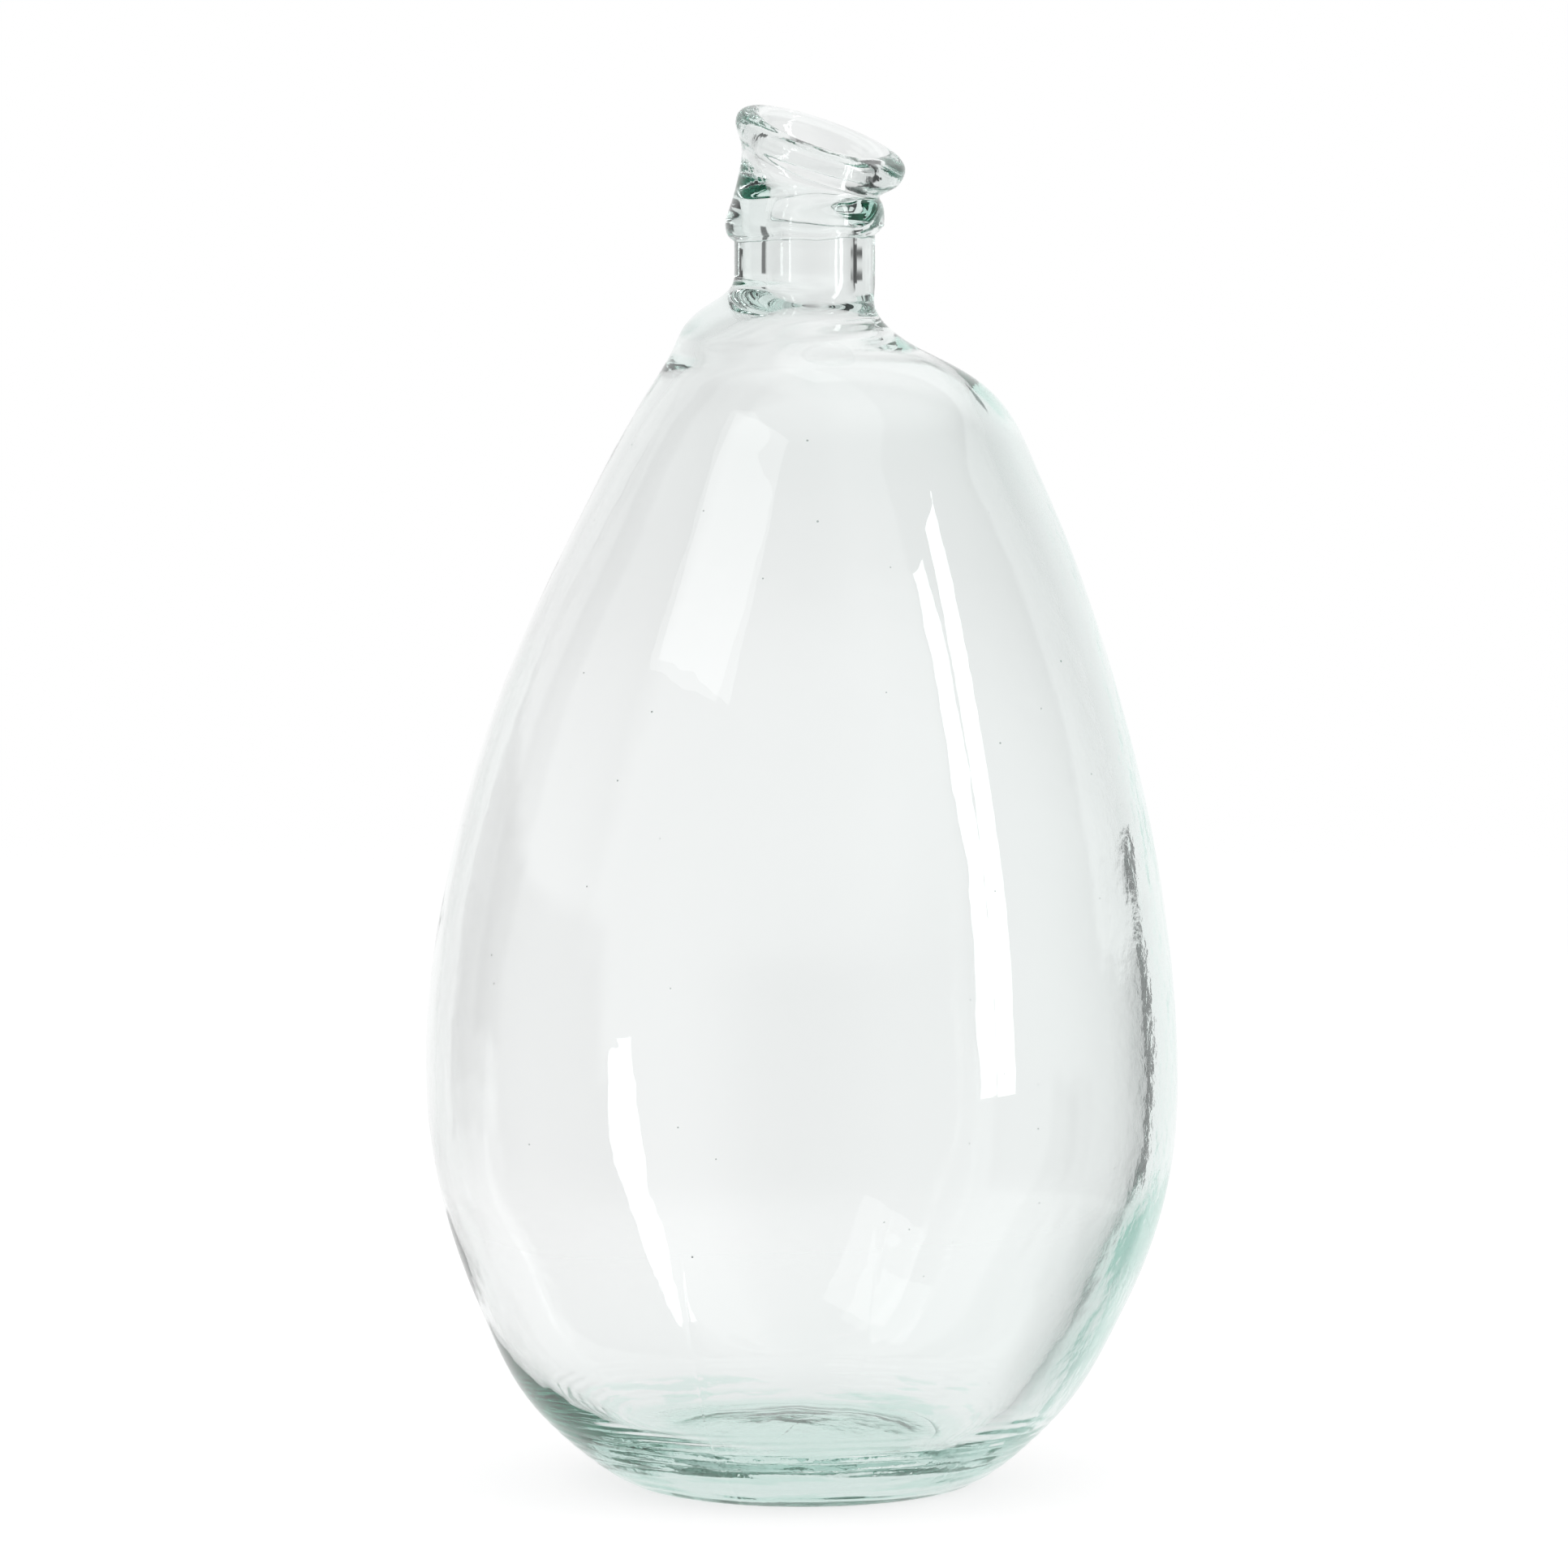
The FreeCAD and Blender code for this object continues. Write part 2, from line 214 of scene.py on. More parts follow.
def throughKnots(knots, values, wanted):
    # a natural cubic through the knots
    gaps = np.diff(knots)
    count = len(knots)
    system = np.eye(count)
    right = np.zeros(values.shape)
    slopes = np.diff(values, axis=0) / gaps[:, None]
    for k in range(1, count - 1):
        system[k, k - 1:k + 2] = gaps[k - 1], 2 * (gaps[k - 1] + gaps[k]), gaps[k]
        right[k] = 6 * (slopes[k] - slopes[k - 1])
    bends = np.linalg.solve(system, right)
    place = np.clip(np.searchsorted(knots, wanted, side="right") - 1, 0, count - 2)
    gap = gaps[place][:, None]
    before = (wanted - knots[place])[:, None]
    after = gap - before
    return (bends[place] * after ** 3 + bends[place + 1] * before ** 3) / (6 * gap) \
        + (values[place] / gap - bends[place] * gap / 6) * after \
        + (values[place + 1] / gap - bends[place + 1] * gap / 6) * before


def sectionRows(sections, spacings):
    # rows between the sections, as close as the spacings ask for
    values = np.array(sections)
    steps = np.hypot(np.diff(values[:, 2]), np.diff(values[:, 3])) + 1e-6
    knots = np.concatenate(([0.0], np.cumsum(steps)))
    fine = np.linspace(0, knots[-1], 4000)
    levels = np.interp(fine, knots, values[:, 2]) / mm
    density = 1 / np.array([spacingAt(level, spacings) * mm for level in levels])
    passed = np.concatenate(
        ([0.0], np.cumsum((density[1:] + density[:-1]) / 2 * np.diff(fine))))
    count = int(ceil(passed[-1]))
    wanted = np.interp(np.linspace(0, passed[-1], count + 1), passed, fine)
    return throughKnots(knots, values, wanted)


def spacingAt(level, spacings):
    return next(spacing for top, spacing in spacings if level < top)


def cap(radius, depth, level, middle, edge):
    # the sections of a shallow cap, from its middle outwards
    rows = []
    for share in (*shell["capShares"], edge):
        swelling = max(1 - abs(share - 1) / shell["capSwellingWidth"], 0)
        height = depth * max(1 - share ** 2, 0) + shell["capSwelling"] * depth * swelling
        rows.append([middle * mm, 0.0, (level + height) * mm, share * radius * mm, 0.0, 0.0])
    return rows


def lipRows(outer, inner):
    # over the rim, from the last outer row to the first inner one
    up = leaning(shell["rimTilt"], shell["rimNod"]) @ Vector((0, 0, 1))
    outerRound, innerRound, crown = (
        shell[name] * mm for name in ("lipRound", "lipInnerRound", "lipCrown"))
    outerSteps, crownSteps, innerSteps = (
        shell[name] for name in ("lipOuterSteps", "lipCrownSteps", "lipInnerSteps"))
    outerRadius, innerRadius = outer[3], inner[3]
    shoulder = outerRound - crown
    path = []
    for step in range(1, outerSteps + 1):
        angle = pi / 2 * step / outerSteps
        path.append((outerRadius - outerRound * (1 - cos(angle)), shoulder * sin(angle)))
    inside = innerRadius + innerRound
    crest = outerRadius - outerRound
    for step in range(1, crownSteps):
        share = step / crownSteps
        rise = outerRound - crown * (1 - 4 * share * (1 - share))
        path.append((crest + (inside - crest) * share, rise))
    for step in range(innerSteps + 1):
        angle = pi / 2 * step / innerSteps
        path.append((inside - innerRound * sin(angle), shoulder - innerRound * (1 - cos(angle))))
    path.append((innerRadius, (shoulder - innerRound) / 2))
    rows = []
    for radius, rise in path:
        share = (outerRadius - radius) / (outerRadius - innerRadius)
        centre = Vector((outer * (1 - share) + inner * share)[:3]) + up * rise
        rows.append([*centre, radius, shell["rimTilt"], shell["rimNod"]])
    return rows


def measureOutside():
    sections = cap(shell["restInner"], shell["pushUp"], 0.0, 0.0, shell["pushUpEdge"])
    sections += [measureSection(level) for level in shell["outerLevels"]]
    sections += [measureSection(*lean) for lean in shell["outerLeans"]]
    return sections + [measureSection(*rimSection)]


def measureBelly():
    # the hollow up to the neck's root, set off in the foot and widened towards -X low down
    sections = [measureSection(level, outside=False) for level in shell["innerLevels"]]
    start, full, fade, end = shell["thinLevels"]
    for section in sections:
        level = section[2] / mm
        offset = 1 - easing(level, *shell["floorShiftLevels"])
        section[0] += shell["floorShift"] * mm * offset
        share = easing(level, start, full) * (1 - easing(level, fade, end))
        section[0] -= shell["thinSide"] * mm * share
        section[3] += shell["thinSide"] * mm * share
    return sections


def measureInside():
    belly = measureBelly()
    bore = [measureSection(level, outside=False) for level in shell["boreLevels"]]
    sections = cap(shell["domeRadius"], shell["domeRise"], shell["floorLevel"],
                   shell["domeMiddle"], shell["domeEdge"])
    sections.append([
        shell["floorEdgeMiddle"] * mm, 0.0, (shell["floorLevel"] + shell["floorEdgeRise"]) * mm,
        shell["floorEdge"] * mm, 0.0, 0.0])
    sections += belly
    foot = belly[-1][2]
    for level, radius in shell["neckRoot"]:
        share = min((level * mm - foot) / (shell["neckRootEnd"] * mm - foot), 1)
        middle = belly[-1][0] * (1 - share) + bore[0][0] * share
        sections.append([middle, 0.0, level * mm, radius * mm, 0.0, 0.0])
    sections += bore
    sections += [measureSection(*lean, outside=False) for lean in shell["innerLeans"]]
    sections.append(measureSection(*rimSection, outside=False))
    for section in sections:
        flare = easing(section[2] / mm, *shell["openingFlareLevels"])
        section[3] += shell["openingFlare"] * mm * flare
    return sections


rimTurn = leaning(shell["rimTilt"], shell["rimNod"])
rimFoot = Vector((shell["rimMiddle"], 0, shell["rimLevel"])) \
    - rimTurn @ Vector((0, 0, shell["lipRound"]))
rimSection = (rimFoot.z, rimFoot.x, shell["rimTilt"], shell["rimNod"])
outerSections = measureOutside()
innerSections = measureInside()
print("sections measured:", len(outerSections) + len(innerSections))

outerRows = sectionRows(outerSections, shell["outerSpacing"])
innerRows = sectionRows(innerSections, shell["innerSpacing"])[::-1]
boreSection = measureSection(shell["boreMeasuredAt"], outside=False)
boreFoot, boreTop = shell["boreSpan"]
for row in innerRows:
    if boreFoot * mm < row[2] < boreTop * mm:
        row[0], row[3] = boreSection[0], boreSection[3]
profile = np.vstack((outerRows, lipRows(outerRows[-1], innerRows[0]), innerRows))
# the skins meet at the crown's second step
outsideCount = len(outerRows) + shell["lipOuterSteps"] + 2
outsideRow = np.array([1.0 if row < outsideCount else 0.0 for row in range(len(profile))])


def columnAngles():
    # even columns, with a few close together at each seam
    even = [360 * step / shell["columns"] for step in range(shell["columns"])]
    kept = even
    extra = []
    for seam in shell["seamTurns"]:
        kept = [angle for angle in kept
                if abs((angle - seam + 180) % 360 - 180) > shell["seamClearance"]]
        extra += [(seam + offset) % 360 for offset in shell["seamColumns"]]
    return sorted(kept + extra)


def buildShell():
    # quads between the rows, closed at both poles
    angles = [radians(angle) for angle in columnAngles()]
    around = [Vector((sin(angle), -cos(angle), 0)) for angle in angles]
    columns = len(around)
    points = []
    for row in profile:
        turn = leaning(row[4], row[5])
        centre = Vector(row[:3])
        points += [centre + turn @ direction * row[3] for direction in around]
    faces = []
    for r in range(len(profile) - 1):
        for c in range(columns):
            d = (c + 1) % columns
            low, high = r * columns, (r + 1) * columns
            faces.append((low + c, low + d, high + d, high + c))
    first = len(points)
    points += [Vector((0, 0, profile[0][2])), Vector((profile[-1][0], 0, profile[-1][2]))]
    last = (len(profile) - 1) * columns
    for c in range(columns):
        d = (c + 1) % columns
        faces.append((d, c, first))
        faces.append((last + c, last + d, first + 1))
    mesh = bpy.data.meshes.new("glassShell")
    mesh.from_pydata(points, [], faces)
    outside = mesh.attributes.new("outside", "FLOAT", "POINT")
    values = np.concatenate((np.repeat(outsideRow, columns), [1.0, 0.0]))
    outside.data.foreach_set("value", values)
    mesh.update()
    piece = bpy.data.objects.new("glass_shell", mesh)
    scene.collection.objects.link(piece)
    return piece


def namedInputs(tree, values):
    # one float input of the tree for each value
    for name in values:
        tree.interface.new_socket(name, in_out="INPUT", socket_type="NodeSocketFloat")


def runTree(piece, tree, values):
    # runs the tree on the piece and keeps the result as its plain mesh
    modifier = piece.modifiers.new("detail", "NODES")
    modifier.node_group = tree
    for item in tree.interface.items_tree:
        if item.in_out == "INPUT" and item.name in values:
            modifier[item.identifier] = float(values[item.name])
    bpy.context.view_layer.update()
    evaluated = piece.evaluated_get(bpy.context.evaluated_depsgraph_get())
    result = bpy.data.meshes.new_from_object(evaluated)
    piece.modifiers.remove(modifier)
    old = piece.data
    piece.data = result
    bpy.data.meshes.remove(old)


# millimetres, unless the name says otherwise
detail = {
    "waviness": 0.10, "wave size": 55.0,
    "unevenness": 0.32, "uneven size": 80.0, "small unevenness": 0.09, "small size": 19.0,
    "thick side": 0.5, "grain": 0.07, "grain size": 6.0,
    "ripple": 0.17, "ripple spacing": 3.4, "ripple drift": 1.6,
    "drift size": 25.0, "patch size": 18.0,
    "seam": 0.12, "seam width": 0.5, "seam turn in degrees": -19.0,
    "ring drift": 1.6, "ring drift size": 17.0, "ring lean in thousandths": 35.0,
    "mouth roughness": 0.12, "mouth grain size": 6.0,
}

# where each kind of detail lies: heights in metres, from, to and how far it fades
zones = {
    "ripples": (0.003, 0.022, 0.003), "thickSide": (0.03, 0.20, 0.03), "body": (0.03, 0.37, 0.02),
    "underRing": (0.4225, 0.4262, 0.0025), "mouth": (0.432, 0.442),
    # the seam stands up low down and is faint over the rest: zone and share of its height
    "seams": (((0.012, 0.075, 0.02), 0.8), ((0.012, 0.39, 0.01), 0.2)),
    "thickSideFacing": (0.55, 1.0),     # how far a place faces +X
}


def detailTree(finish):
    # blown glass is never even: waves, an uneven inner wall, chill ripples, seams, a rough ring
    tree = bpy.data.node_groups.new("blownGlassDetail", "GeometryNodeTree")
    tree.interface.new_socket("Geometry", in_out="INPUT", socket_type="NodeSocketGeometry")
    namedInputs(tree, detail)
    tree.interface.new_socket("Geometry", in_out="OUTPUT", socket_type="NodeSocketGeometry")
    graph = Graph(tree)
    given = graph.add("NodeGroupInput")
    size = {name: given.sibling(name) * mm for name in detail}
    outer = graph.add(
        "GeometryNodeInputNamedAttribute", {"data_type": "FLOAT"}, {"Name": "outside"})
    place = graph.add("GeometryNodeInputPosition")
    x = graph.add("ShaderNodeSeparateXYZ", sockets={"Vector": place})
    y, z = x.sibling("Y"), x.sibling("Z")
    flat = graph.maths("SQRT", x * x + y * y) + 1e-6

    wave = (graph.noise(place, size["wave size"]) - 1) * size["waviness"]

    drift = graph.noise(place, size["drift size"], shift=3.0) * size["ripple drift"]
    phase = (z + drift) / size["ripple spacing"] * (2 * pi)
    patches = graph.smoothStep(graph.noise(place, size["patch size"], shift=5.0), -0.5, 0.5)
    heel = graph.band(z, *zones["ripples"]) * patches
    ripple = (graph.maths("SINE", phase) - 1) * size["ripple"] * heel

    turn = graph.maths("RADIANS", given.sibling("seam turn in degrees"))
    across = x * graph.maths("COSINE", turn) + y * graph.maths("SINE", turn)
    aside = across / size["seam width"]
    ridge = graph.maths("MAXIMUM", 1 - aside * aside, 0.0)
    (lowZone, lowShare), (wholeZone, wholeShare) = zones["seams"]
    stands = graph.band(z, *lowZone) * lowShare + graph.band(z, *wholeZone) * wholeShare
    seam = ridge * size["seam"] * stands

    torn = graph.noise(place, size["mouth grain size"], detail=3.0, shift=8.0) - 1
    rough = torn * size["mouth roughness"] * graph.smoothStep(z, *zones["mouth"])

    side = graph.smoothStep(x / flat, *zones["thickSideFacing"])
    thick = side * graph.band(z, *zones["thickSide"]) * size["thick side"]
    uneven = graph.noise(place, size["uneven size"], detail=1.0, shift=11.0) * size["unevenness"]
    small = graph.noise(place, size["small size"], shift=12.0) * size["small unevenness"]
    grain = graph.noise(place, size["grain size"], shift=13.0) * size["grain"] * side
    inner = (uneven + small + grain) * graph.band(z, *zones["body"]) + thick

    shift = outer * (wave + ripple + seam) + (1 - outer) * inner + rough
    normal = graph.add("GeometryNodeInputNormal")
    along = graph.add(
        "ShaderNodeVectorMath", {"operation": "SCALE"}, {"Vector": normal, "Scale": shift})
    under = graph.band(z, *zones["underRing"]) * outer
    sag = graph.noise(place, size["ring drift size"], shift=17.0) * size["ring drift"] * under
    lean = x * size["ring lean in thousandths"] * under
    down = graph.add("ShaderNodeCombineXYZ", sockets={"Z": sag + lean})
    offset = graph.vector("ADD", along, down)
    moved = graph.add("GeometryNodeSetPosition", sockets={"Geometry": given, "Offset": offset})
    graph.finish(moved, finish)
    return tree


# ---- the glass's material

# lengths and heights in metres
glass = {
    "ior": 1.52,
    "tint": (0.30, 0.683, 0.583, 1.0),  # what it lets through, with the density per metre
    "density": 5.5,
    # the greener parts: the floor's disc (radius and height where it ends), the foot and streaks
    "thickTint": (0.74, 0.90, 0.85, 1.0),
    "floorRim": (0.043, 0.051), "floorTop": (0.0165, 0.0195), "footTop": (0.001, 0.0045),
    "streakBand": (0.004, 0.013, 0.003), "streakSize": 0.03, "streakEdge": (0.0, 0.15),
    "streakStretch": (1, 1, 7),
    "wearLevel": 0.0035, "wearRoughness": 0.22, "wearSize": 0.004, "wearEdge": (-0.2, 0.5),
    "orangePeel": 0.00002, "orangePeelSize": 0.011,
    # the inner wall's grain on its thick side: how far a place faces +X, and the heights
    "innerGrain": 0.00003, "innerGrainSize": 0.005,
    "innerGrainFacing": (0.7, 0.95), "innerGrainBand": (0.03, 0.33, 0.03),
    # the torn look of the cut rim
    "mouthGrain": 0.00010, "mouthGrainSize": 0.0035, "mouthGrainFrom": (0.436, 0.448),
    "floorGrain": 0.00010, "floorGrainSize": 0.005, "floorGrainEnd": (0.02, 0.03),
}


def glassMaterial():
    material = bpy.data.materials.new("recycled_glass")
    material.use_nodes = True
    graph = Graph(material.node_tree)
    place = graph.add("ShaderNodeTexCoord", out=3)
    x = graph.add("ShaderNodeSeparateXYZ", sockets={"Vector": place})
    y, z = x.sibling("Y"), x.sibling("Z")
    flat = graph.maths("SQRT", x * x + y * y) + 1e-6
    inside = 1 - graph.add("ShaderNodeAttribute", {"attribute_name": "outside"}, out=2)

    low = 1 - graph.smoothStep(z, 0.0, glass["wearLevel"])
    scuffs = graph.smoothStep(graph.noise(place, glass["wearSize"], detail=4.0), *glass["wearEdge"])
    roughness = low * scuffs * glass["wearRoughness"]

    facing = graph.smoothStep(x / flat, *glass["innerGrainFacing"])
    thickSide = facing * graph.band(z, *glass["innerGrainBand"]) * inside
    mouth = graph.smoothStep(z, *glass["mouthGrainFrom"]) * inside
    floor = (1 - graph.smoothStep(z, *glass["floorGrainEnd"])) * inside
    peel = graph.noise(place, glass["orangePeelSize"], detail=1.0, shift=21.0)
    bumps = peel * glass["orangePeel"]
    for name, where, shift in (
            ("innerGrain", thickSide, 22.0), ("mouthGrain", mouth, 23.0),
            ("floorGrain", floor, 24.0)):
        grain = graph.noise(place, glass[f"{name}Size"], detail=3.0, shift=shift)
        bumps = bumps + grain * glass[name] * where
    bump = graph.add(
        "ShaderNodeBump", sockets={"Strength": 1.0, "Distance": 1.0, "Height": bumps})

    disc = (1 - graph.smoothStep(flat, *glass["floorRim"])) \
        * (1 - graph.smoothStep(z, *glass["floorTop"]))
    foot = 1 - graph.smoothStep(z, *glass["footTop"])
    drawn = graph.vector("MULTIPLY", place, glass["streakStretch"])
    streaks = graph.noise(drawn, glass["streakSize"], detail=3.0, shift=25.0)
    streaks = graph.smoothStep(streaks, *glass["streakEdge"]) * graph.band(z, *glass["streakBand"])
    thick = graph.maths("MAXIMUM", disc, graph.maths("MAXIMUM", foot, streaks))
    colour = graph.add(
        "ShaderNodeMix", {"data_type": "RGBA"},
        {0: thick, 6: (1, 1, 1, 1), 7: glass["thickTint"]}, out=2)

    surface = graph.add("ShaderNodeBsdfPrincipled", sockets={
        "Base Color": colour, "Roughness": roughness, "IOR": glass["ior"],
        "Transmission Weight": 1.0, "Normal": bump})
    volume = graph.add("ShaderNodeVolumeAbsorption", sockets={
        "Color": glass["tint"], "Density": glass["density"]})
    graph.add("ShaderNodeOutputMaterial", sockets={"Surface": surface, "Volume": volume})
    return material


glassFinish = glassMaterial()


# ---- seeds, the small bubbles that recycled glass is full of

# how many to a square metre, their radii in millimetres, and the random seed
seeds = {"density": 190.0, "smallest": 0.13, "largest": 0.38, "seed": 5}
seedBed = {"lowest": 30, "highest": 372, "columns": 48}


def buildSeedBed():
    # a sheet in the middle of the wall, for the seeds to lie in
    columns = seedBed["columns"]
    levels = [level for level in shell["outerLevels"]
              if seedBed["lowest"] < level < seedBed["highest"]]
    points = []
    for level in levels:
        outer = measureSection(level)
        inner = measureSection(level, outside=False)
        middle = (outer[0] + inner[0]) / 2
        radius = (outer[3] + inner[3]) / 2
        for k in range(columns):
            angle = 2 * pi * k / columns
            points.append(Vector(
                (middle + radius * cos(angle), radius * sin(angle), level * mm)))
    faces = []
    for r in range(len(levels) - 1):
        low, high = r * columns, (r + 1) * columns
        for c in range(columns):
            d = (c + 1) % columns
            faces.append((low + c, low + d, high + d, high + c))
    mesh = bpy.data.meshes.new("seeds")
    mesh.from_pydata(points, [], faces)
    piece = bpy.data.objects.new("seeds", mesh)
    scene.collection.objects.link(piece)
    return piece


def seedTree(finish):
    # bubbles scattered in the sheet, facing inwards, because each is a hollow in the glass
    tree = bpy.data.node_groups.new("seedScatter", "GeometryNodeTree")
    tree.interface.new_socket("Geometry", in_out="INPUT", socket_type="NodeSocketGeometry")
    namedInputs(tree, seeds)
    tree.interface.new_socket("Geometry", in_out="OUTPUT", socket_type="NodeSocketGeometry")
    graph = Graph(tree)
    given = graph.add("NodeGroupInput")
    spots = graph.add("GeometryNodeDistributePointsOnFaces", sockets={
        "Mesh": given, "Density": given.sibling("density"), "Seed": given.sibling("seed")})
    bubble = graph.add("GeometryNodeMeshIcoSphere", sockets={"Radius": mm, "Subdivisions": 2})
    scale = graph.add("FunctionNodeRandomValue", {"data_type": "FLOAT"}, {
        "Min": given.sibling("smallest"), "Max": given.sibling("largest"),
        "Seed": given.sibling("seed")}, out=1)
    placed = graph.add("GeometryNodeInstanceOnPoints", sockets={
        "Points": spots, "Instance": bubble, "Scale": scale})
    real = graph.add("GeometryNodeRealizeInstances", sockets={"Geometry": placed})
    flipped = graph.add("GeometryNodeFlipFaces", sockets={"Mesh": real})
    graph.finish(flipped, finish)
    return tree


glassShell = buildShell()
runTree(glassShell, detailTree(glassFinish), detail)
seedPiece = buildSeedBed()
runTree(seedPiece, seedTree(glassFinish), seeds)
print("shell rows:", len(profile), "faces:", len(glassShell.data.polygons),
      "seed faces:", len(seedPiece.data.polygons))

# the seeds become part of the one piece of glass
joined = bmesh.new()
joined.from_mesh(glassShell.data)
joined.from_mesh(seedPiece.data)
joined.to_mesh(glassShell.data)
joined.free()
bpy.data.objects.remove(seedPiece)
triangles = sum(len(polygon.vertices) - 2 for polygon in glassShell.data.polygons)
print("glass triangles:", triangles)

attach(glassShell, "root")
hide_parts("glass_carboy")


# ---- floor, lamps and surroundings

studio = {
    "floorRadius": 3.0, "floorCorners": 96,
    # where the floor fades out, for what isn't and what is seen by way of glass, in metres
    "fade": (0.7, 2.6), "fadeInGlass": (0.22, 0.6),
    "floorGlow": 0.73, "floorGlowInGlass": 0.8, "floorColour": 0.5, "floorColourInGlass": 0.25,
    "skyForFloor": 0.7,
    # painted shade on the floor beside and behind the glass, which only the glass shows, while the
    # camera sees the floor plain: its direction, start, end and darkness, and how far forward it
    # reaches
    "paintedShadeTurn": 41, "paintedShadeEdge": (0.070, 0.115), "paintedShadeFront": (-0.06, -0.02),
    "paintedShadeDarkness": 0.85,
    # the backdrop as the glass shows it, and how it darkens between two directions' heights
    "skyInGlass": 0.985, "skyShade": 0.08, "skyShadeHeights": (-0.09, 0.02),
    "sideShade": 0.10, "sideShadeFrom": 7, "sideShadeTo": 25,
    # the white panel behind, as the outside reflects it, and how bright the rest is there
    "panelHalfWidth": 38, "panelSoftness": 30,
    "glossAtHorizon": 0.55, "glossAbove": 0.10, "glossHeight": 0.5,
    # dark flags round the set: middle and half width in degrees from +Y towards +X, softness and
    # darkness, then the directions' heights between which each one hangs
    "flags": (
        (84, 27, 4, 0.95, -0.30, 0.0), (92, 27, 4, 0.95, 0.0, 1.0),
        (71, 37, 1.5, 0.95, -0.30, -0.03), (-68, 5, 5, 0.8, -0.03, 1.0),
        (205, 20, 45, 0.9, -1.0, 1.0)),
    "flagSoftness": 0.04,
    "ceiling": (0.6, 0.9, 0.3),     # where the dark ceiling starts and is full, and its darkness
    # lamps: middle, aimed at, width, height, power
    "lamps": (((1.27, -0.68, 0.66), (0.0, 0.0, 0.25), 0.17, 1.35, 4.2),
              ((-1.12, -0.95, 1.72), (0.0, 0.0, 0.3), 1.1, 0.85, 3.1)),
    "cameraPlace": (-0.0061, -2.4, 0.43), "cameraTarget": (-0.0061, 0.0, 0.2389),
    "cameraLens": 162.3, "cameraSensor": 36.0, "cameraClipEnd": 50,
    "bounces": 100,     # light runs a long way inside thick glass before it comes out
}


def buildFloor():
    corners = studio["floorCorners"]
    ring = []
    for k in range(corners):
        angle = 2 * pi * k / corners
        ring.append((studio["floorRadius"] * cos(angle), studio["floorRadius"] * sin(angle), 0.0))
    mesh = bpy.data.meshes.new("floor")
    mesh.from_pydata(ring, [], [tuple(range(corners))])
    floor = bpy.data.objects.new("floor", mesh)
    scene.collection.objects.link(floor)
    material = bpy.data.materials.new("floor_paper")
    material.use_nodes = True
    graph = Graph(material.node_tree)
    inCamera = graph.add("ShaderNodeLightPath")
    inGlass = graph.maths("MAXIMUM", inCamera.sibling("Is Transmission Ray"),
                          inCamera.sibling("Is Glossy Ray"))
    place = graph.add("ShaderNodeTexCoord", out=3)
    x = graph.add("ShaderNodeSeparateXYZ", sockets={"Vector": place})
    y = x.sibling("Y")
    # painted shade: beside and behind the glass, the floor's colour and glow are darkened only for
    # the rays that the glass reflects and bends
    turn = radians(studio["paintedShadeTurn"])
    across = x * cos(turn) - y * sin(turn)
    dark = graph.smoothStep(across, *studio["paintedShadeEdge"]) \
        * graph.smoothStep(y, *studio["paintedShadeFront"]) * studio["paintedShadeDarkness"]
    lit = 1 - dark * inGlass
    glow = inCamera * studio["floorGlow"] \
        + (1 - inCamera) * inGlass * lit * studio["floorGlowInGlass"]
    change = studio["floorColourInGlass"] - studio["floorColour"]
    shade = (studio["floorColour"] + inGlass * change) * lit
    colour = graph.add("ShaderNodeCombineXYZ", sockets={"X": shade, "Y": shade, "Z": shade})
    paper = graph.add("ShaderNodeBsdfPrincipled", sockets={
        "Base Color": colour, "Roughness": 1.0, "Specular IOR Level": 0.0,
        "Emission Color": (1, 1, 1, 1), "Emission Strength": glow})
    # the paper fades into the surroundings, so no edge or horizon shows in the glass
    away = graph.add("ShaderNodeVectorMath", {"operation": "LENGTH"}, {"Vector": place}, out=1)
    fade = graph.smoothStep(away, *studio["fade"]) * (1 - inGlass) \
        + graph.smoothStep(away, *studio["fadeInGlass"]) * inGlass
    clear = graph.add("ShaderNodeBsdfTransparent")
    surface = graph.add("ShaderNodeMixShader", sockets={"Fac": fade, 1: paper, 2: clear})
    graph.add("ShaderNodeOutputMaterial", sockets={"Surface": surface})
    mesh.materials.append(material)


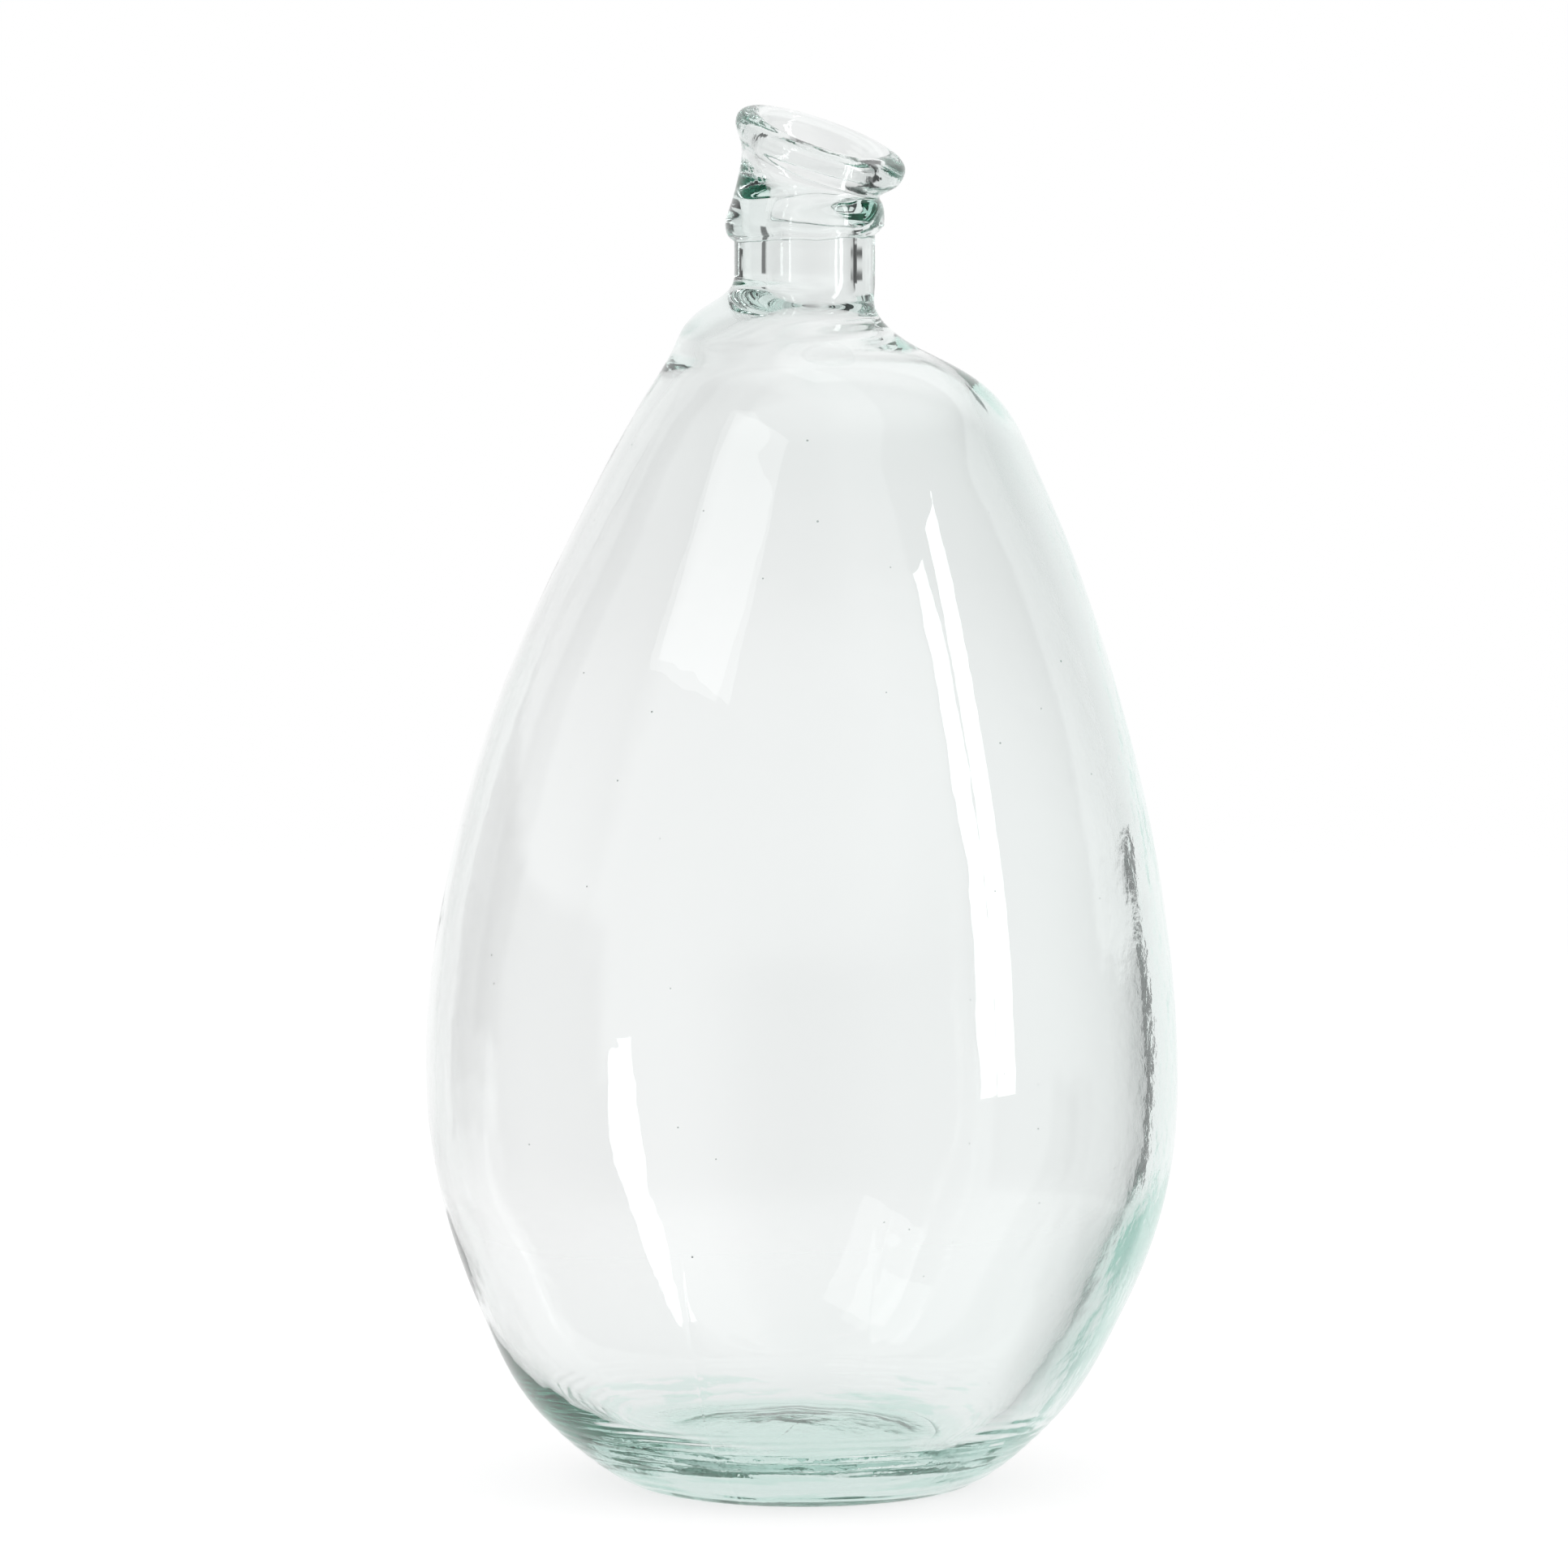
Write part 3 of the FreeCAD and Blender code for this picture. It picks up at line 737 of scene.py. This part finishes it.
def buildSurroundings():
    world = bpy.data.worlds.new("studio")
    scene.world = world
    world.use_nodes = True
    graph = Graph(world.node_tree)
    direction = graph.add("ShaderNodeTexCoord", out=0)
    x = graph.add("ShaderNodeSeparateXYZ", sockets={"Vector": direction})
    y, z = x.sibling("Y"), x.sibling("Z")
    level = graph.maths("SQRT", x * x + y * y) + 1e-4
    start, full, darkness = studio["ceiling"]
    dark = graph.smoothStep(z, start, full) * darkness
    for middle, half, soft, darkness, bottom, top in studio["flags"]:
        nearness = (x * sin(radians(middle)) + y * cos(radians(middle))) / level
        flag = graph.smoothStep(nearness, cos(radians(half + soft)), cos(radians(half))) \
            * darkness * graph.band(z, bottom, top, studio["flagSoftness"])
        dark = graph.maths("MAXIMUM", dark, flag)
    camera = graph.add("ShaderNodeLightPath")
    transmitted = camera.sibling("Is Transmission Ray")
    glossy = camera.sibling("Is Glossy Ray")
    shade = graph.smoothStep(z, *studio["skyShadeHeights"]) * studio["skyShade"]
    inner, outer = (cos(radians(studio[name])) for name in ("sideShadeFrom", "sideShadeTo"))
    aside = 1 - graph.smoothStep(y / level, outer, inner)
    inGlass = (1 - dark) * (1 - shade) * (1 - aside * studio["sideShade"]) * studio["skyInGlass"]
    above = graph.smoothStep(z, 0.0, studio["glossHeight"])
    gloss = studio["glossAtHorizon"] + above * (studio["glossAbove"] - studio["glossAtHorizon"])
    half, soft = studio["panelHalfWidth"], studio["panelSoftness"]
    panel = graph.smoothStep(y / level, cos(radians(half + soft)), cos(radians(half)))
    gloss = graph.maths("MAXIMUM", gloss, panel)
    strength = camera + (1 - camera) * (
        transmitted * inGlass
        + (1 - transmitted) * (glossy * gloss + (1 - glossy) * studio["skyForFloor"]))
    background = graph.add(
        "ShaderNodeBackground", sockets={"Color": (1, 1, 1, 1), "Strength": strength})
    graph.add("ShaderNodeOutputWorld", sockets={"Surface": background})


def aim(holder, target):
    direction = Vector(target) - holder.location
    holder.rotation_euler = direction.to_track_quat("-Z", "Y").to_euler()
    scene.collection.objects.link(holder)


def buildLamps():
    for number, (middle, target, width, height, power) in enumerate(studio["lamps"]):
        lamp = bpy.data.lights.new(f"softbox{number}", "AREA")
        lamp.shape = "RECTANGLE"
        lamp.size = width
        lamp.size_y = height
        lamp.energy = power
        holder = bpy.data.objects.new(f"softbox{number}", lamp)
        holder.location = middle
        holder.visible_camera = False
        aim(holder, target)


def buildCamera():
    camera = bpy.data.cameras.new("camera")
    camera.lens = studio["cameraLens"]
    camera.sensor_width = studio["cameraSensor"]
    camera.clip_end = studio["cameraClipEnd"]
    holder = bpy.data.objects.new("camera", camera)
    holder.location = studio["cameraPlace"]
    aim(holder, studio["cameraTarget"])
    scene.camera = holder


buildFloor()
buildSurroundings()
buildLamps()
buildCamera()
scene.view_settings.view_transform = "Standard"
scene.cycles.max_bounces = studio["bounces"]
scene.cycles.transmission_bounces = studio["bounces"]
scene.cycles.glossy_bounces = studio["bounces"]
print("studio built")
